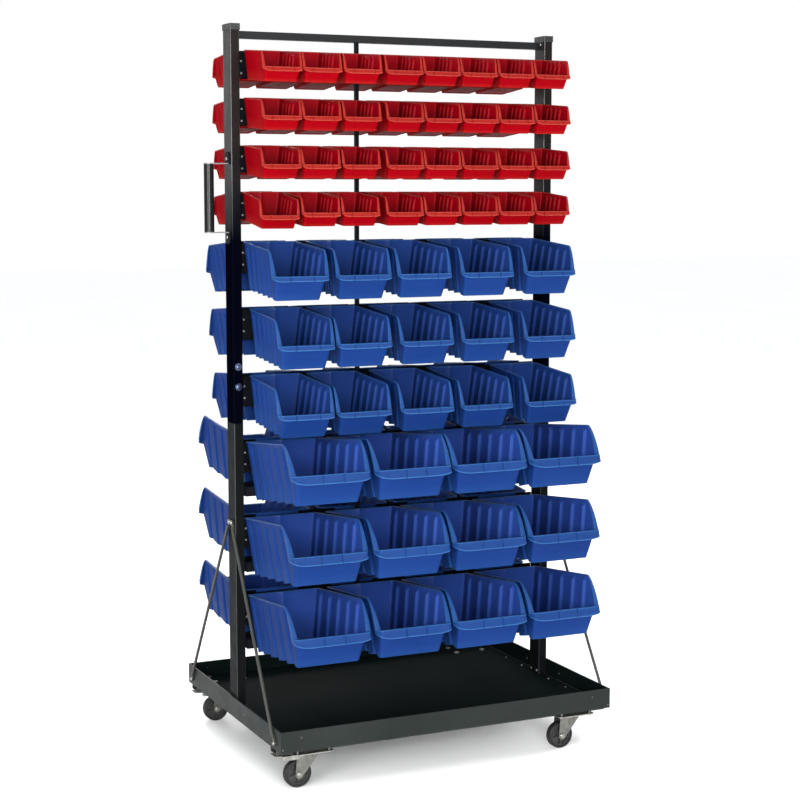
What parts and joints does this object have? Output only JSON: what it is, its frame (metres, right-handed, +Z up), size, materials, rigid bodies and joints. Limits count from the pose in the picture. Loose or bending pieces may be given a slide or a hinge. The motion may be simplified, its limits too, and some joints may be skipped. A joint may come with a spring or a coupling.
{
  "type": "mobile bin cart",
  "caption": "Double-sided upright rack on a tray with castors, carrying rows of removable open-fronted bins in small, medium and large sizes, with a side push handle.",
  "frame": {"origin": "on the floor, under the middle of the whole object's box, handle included", "axes": "+Z up, -Y towards the front face of bins, +X along the cart, away from the handle"},
  "size_m": [1.0697, 0.8202, 2.015],
  "materials": {
    "frame_paint": "semi-gloss anthracite powder coat, fine orange-peel",
    "zinc_steel": "bright zinc plating, slightly dull",
    "red_plastic": "moulded polypropylene, satin gloss",
    "blue_plastic": "moulded polypropylene, satin gloss",
    "tyre_rubber": "dark grey rubber tread",
    "hub_plastic": "dark grey moulded plastic",
    "black_plastic": "black moulded plastic",
    "black_gloss_tube": "glossy black sleeve"
  },
  "bodies": {
    "root": {"back_large_bins": "blue_plastic", "back_medium_bins": "blue_plastic", "back_small_bins": "red_plastic", "bin_rails": "frame_paint", "brace_bolts": "zinc_steel", "brace_rods": "frame_paint", "castor_bolts": "zinc_steel", "castor_plates": "zinc_steel", "centre_strut": "frame_paint", "front_large_bins": "blue_plastic", "front_medium_bins": "blue_plastic", "front_small_bins": "red_plastic", "handle_brackets": "frame_paint", "handle_tube": "black_gloss_tube", "king_pins": "zinc_steel", "lower_posts": "frame_paint", "post_caps": "black_plastic", "post_feet": "frame_paint", "prop_bars": "frame_paint", "rail_angles": "frame_paint", "small_screws": "zinc_steel", "splice_bolts": "zinc_steel", "splice_sleeves": "frame_paint", "strut_bolts": "zinc_steel", "top_bar": "frame_paint", "tray": "frame_paint", "under_channels": "frame_paint", "upper_posts": "frame_paint"},
    "castor_front_left": {"fork_front_left": "zinc_steel", "axle_front_left": "zinc_steel", "brake_pin_front_left": "zinc_steel"},
    "wheel_front_left": {"hub_front_left": "hub_plastic", "tyre_front_left": "tyre_rubber"},
    "brake_pedal_front_left": {"brake_pedal_front_left": "zinc_steel"},
    "castor_front_right": {"fork_front_right": "zinc_steel", "axle_front_right": "zinc_steel"},
    "wheel_front_right": {"hub_front_right": "hub_plastic", "tyre_front_right": "tyre_rubber"},
    "castor_back_left": {"fork_back_left": "zinc_steel", "axle_back_left": "zinc_steel", "brake_pin_back_left": "zinc_steel"},
    "wheel_back_left": {"hub_back_left": "hub_plastic", "tyre_back_left": "tyre_rubber"},
    "brake_pedal_back_left": {"brake_pedal_back_left": "zinc_steel"},
    "castor_back_right": {"fork_back_right": "zinc_steel", "axle_back_right": "zinc_steel"},
    "wheel_back_right": {"hub_back_right": "hub_plastic", "tyre_back_right": "tyre_rubber"},
    "back_large_bin_r3c2": {"back_large_bin_r3c2": "blue_plastic"},
    "back_medium_bin_r2c3": {"back_medium_bin_r2c3": "blue_plastic"},
    "back_small_bin_r2c5": {"back_small_bin_r2c5": "red_plastic"},
    "front_large_bin_r2c2": {"front_large_bin_r2c2": "blue_plastic"},
    "front_large_bin_r2c4": {"front_large_bin_r2c4": "blue_plastic"},
    "front_large_bin_r3c1": {"front_large_bin_r3c1": "blue_plastic"},
    "front_medium_bin_r1c5": {"front_medium_bin_r1c5": "blue_plastic"},
    "front_medium_bin_r2c1": {"front_medium_bin_r2c1": "blue_plastic"},
    "front_medium_bin_r3c3": {"front_medium_bin_r3c3": "blue_plastic"},
    "front_small_bin_r1c4": {"front_small_bin_r1c4": "red_plastic"},
    "front_small_bin_r2c7": {"front_small_bin_r2c7": "red_plastic"},
    "front_small_bin_r4c1": {"front_small_bin_r4c1": "red_plastic"}
  },
  "joints": [
    {"name": "swivel_front_left", "type": "hinge", "parent": "root", "child": "castor_front_left", "pos_m": [-0.3736, -0.33, 0.09], "axis": [0, 0, 1], "continuous": true},
    {"name": "roll_front_left", "type": "hinge", "parent": "castor_front_left", "child": "wheel_front_left", "pos_m": [-0.4086, -0.33, 0.0375], "axis": [0, 1, 0], "continuous": true},
    {"name": "brake_front_left", "type": "hinge", "parent": "castor_front_left", "child": "brake_pedal_front_left", "pos_m": [-0.4046, -0.33, 0.0885], "axis": [0, -1, 0], "range_deg": [0, 9]},
    {"name": "swivel_front_right", "type": "hinge", "parent": "root", "child": "castor_front_right", "pos_m": [0.4264, -0.33, 0.09], "axis": [0, 0, 1], "continuous": true},
    {"name": "roll_front_right", "type": "hinge", "parent": "castor_front_right", "child": "wheel_front_right", "pos_m": [0.3914, -0.33, 0.0375], "axis": [0, 1, 0], "continuous": true},
    {"name": "swivel_back_left", "type": "hinge", "parent": "root", "child": "castor_back_left", "pos_m": [-0.3736, 0.33, 0.09], "axis": [0, 0, 1], "continuous": true},
    {"name": "roll_back_left", "type": "hinge", "parent": "castor_back_left", "child": "wheel_back_left", "pos_m": [-0.4086, 0.33, 0.0375], "axis": [0, 1, 0], "continuous": true},
    {"name": "brake_back_left", "type": "hinge", "parent": "castor_back_left", "child": "brake_pedal_back_left", "pos_m": [-0.4046, 0.33, 0.0885], "axis": [0, -1, 0], "range_deg": [0, 9]},
    {"name": "swivel_back_right", "type": "hinge", "parent": "root", "child": "castor_back_right", "pos_m": [0.4264, 0.33, 0.09], "axis": [0, 0, 1], "continuous": true},
    {"name": "roll_back_right", "type": "hinge", "parent": "castor_back_right", "child": "wheel_back_right", "pos_m": [0.3914, 0.33, 0.0375], "axis": [0, 1, 0], "continuous": true},
    {"name": "lift_back_large_bin_r3c2", "type": "slide", "parent": "root", "child": "back_large_bin_r3c2", "axis": [0, 0, 1], "range_m": [0, 0.035]},
    {"name": "lift_back_medium_bin_r2c3", "type": "slide", "parent": "root", "child": "back_medium_bin_r2c3", "axis": [0, 0, 1], "range_m": [0, 0.035]},
    {"name": "lift_back_small_bin_r2c5", "type": "slide", "parent": "root", "child": "back_small_bin_r2c5", "axis": [0, 0, 1], "range_m": [0, 0.035]},
    {"name": "lift_front_large_bin_r2c2", "type": "slide", "parent": "root", "child": "front_large_bin_r2c2", "axis": [0, 0, 1], "range_m": [0, 0.035]},
    {"name": "lift_front_large_bin_r2c4", "type": "slide", "parent": "root", "child": "front_large_bin_r2c4", "axis": [0, 0, 1], "range_m": [0, 0.035]},
    {"name": "lift_front_large_bin_r3c1", "type": "slide", "parent": "root", "child": "front_large_bin_r3c1", "axis": [0, 0, 1], "range_m": [0, 0.035]},
    {"name": "lift_front_medium_bin_r1c5", "type": "slide", "parent": "root", "child": "front_medium_bin_r1c5", "axis": [0, 0, 1], "range_m": [0, 0.035]},
    {"name": "lift_front_medium_bin_r2c1", "type": "slide", "parent": "root", "child": "front_medium_bin_r2c1", "axis": [0, 0, 1], "range_m": [0, 0.035]},
    {"name": "lift_front_medium_bin_r3c3", "type": "slide", "parent": "root", "child": "front_medium_bin_r3c3", "axis": [0, 0, 1], "range_m": [0, 0.035]},
    {"name": "lift_front_small_bin_r1c4", "type": "slide", "parent": "root", "child": "front_small_bin_r1c4", "axis": [0, 0, 1], "range_m": [0, 0.035]},
    {"name": "lift_front_small_bin_r2c7", "type": "slide", "parent": "root", "child": "front_small_bin_r2c7", "axis": [0, 0, 1], "range_m": [0, 0.035]},
    {"name": "lift_front_small_bin_r4c1", "type": "slide", "parent": "root", "child": "front_small_bin_r4c1", "axis": [0, 0, 1], "range_m": [0, 0.035]}
  ]
}
